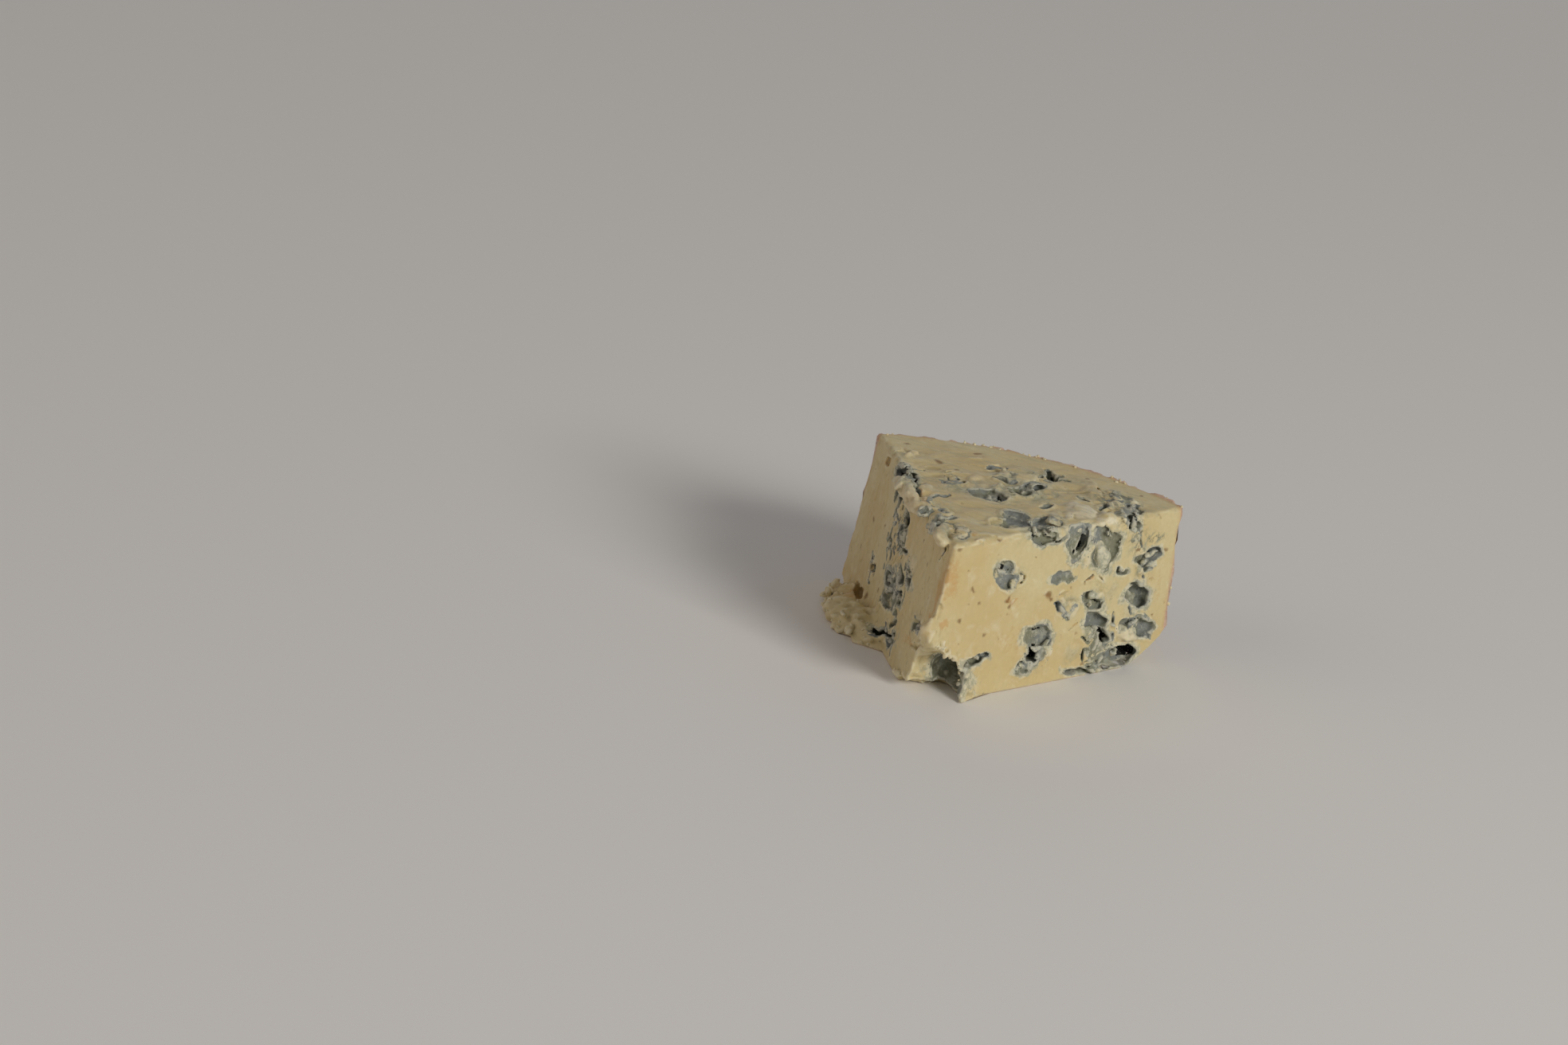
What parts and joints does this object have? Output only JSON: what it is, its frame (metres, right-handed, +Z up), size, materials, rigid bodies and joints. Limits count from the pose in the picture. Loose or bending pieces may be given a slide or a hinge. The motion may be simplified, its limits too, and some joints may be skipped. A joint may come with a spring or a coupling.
{
  "type": "cheese wedge",
  "caption": "Hand-cut wedge of blue-veined cheese with open mould hollows, crumbly edges and an outer rind, resting on its flat base.",
  "frame": {"origin": "centre of the bounding box in X and Y, on the plane the wedge rests on", "axes": "+Z up; the tip of the wedge points along -Y and the rind faces +Y; the left cut face is on -X and the right cut face on +X"},
  "size_m": [0.076, 0.0752, 0.0374],
  "materials": {
    "paste": "matte, slightly moist pale yellow paste with blue-grey mould; matte_plastic stands in for cheese"
  },
  "bodies": {
    "root": {"cheese_wedge": "paste"}
  },
  "joints": []
}
